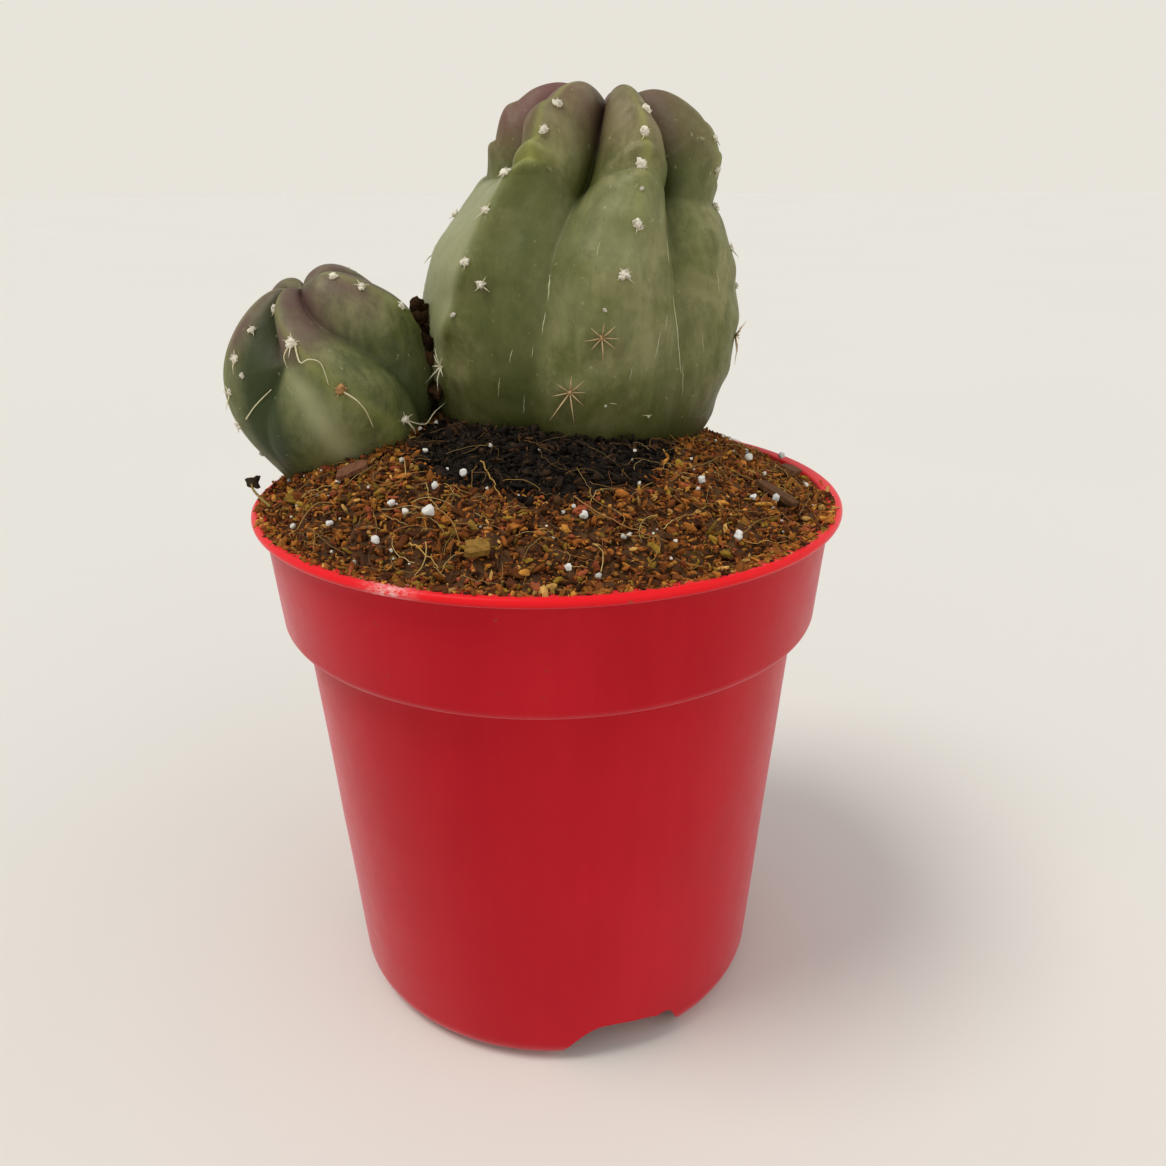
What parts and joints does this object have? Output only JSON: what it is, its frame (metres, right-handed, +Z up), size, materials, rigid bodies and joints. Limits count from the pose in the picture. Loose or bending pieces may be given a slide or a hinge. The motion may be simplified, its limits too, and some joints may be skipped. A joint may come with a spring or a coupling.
{
  "type": "potted cactus",
  "caption": "Squat ribbed cactus with a smaller offset stem, growing in a tapered plastic nursery pot of coir potting mix.",
  "frame": {"origin": "centre of the whole plant's footprint, on the surface that the pot stands on; the pot's own axis is 2.4 mm to the right of it", "axes": "+Z up along the pot's axis, -Y towards the viewer in front, +X to the viewer's right, with the offset stem on the -X side"},
  "size_m": [0.1248, 0.12, 0.1879],
  "materials": {
    "pot": "injection-moulded red polypropylene, satin gloss, faint flow marks and scuffs",
    "mix": "loose damp coir and bark crumbs, matt",
    "peat": "dark damp peat, matt",
    "stem": "waxy olive-green cactus skin with a grey bloom, felted areoles and fine pale scratches",
    "offset": "waxy olive-green cactus skin, purplish at the crown, with thin pale spines",
    "perlite": "matt white expanded perlite",
    "fibre": "dry coir and root fibre",
    "bark": "rough bark chip",
    "wood": "ochre wood chip",
    "sprig": "dry yellowish stalk with a dark head"
  },
  "bodies": {
    "root": {"pot": "pot", "potting_mix": "mix", "peat_plug": "peat", "main_stem": "stem", "offset_stem": "offset", "bark_chip_1": "bark", "bark_chip_2": "bark", "bark_chip_3": "wood", "bark_chip_4": "bark", "dry_sprig": "sprig", "perlite_01": "perlite", "perlite_02": "perlite", "perlite_03": "perlite", "perlite_04": "perlite", "perlite_05": "perlite", "perlite_06": "perlite", "perlite_07": "perlite", "perlite_08": "perlite", "perlite_09": "perlite", "perlite_10": "perlite", "perlite_11": "perlite", "perlite_12": "perlite", "perlite_13": "perlite", "perlite_14": "perlite", "perlite_15": "perlite", "perlite_16": "perlite", "fibre_01": "fibre", "fibre_02": "fibre", "fibre_03": "fibre", "fibre_04": "fibre", "fibre_05": "fibre", "fibre_06": "fibre", "fibre_07": "fibre", "fibre_08": "fibre", "fibre_09": "fibre", "fibre_10": "fibre"}
  },
  "joints": []
}
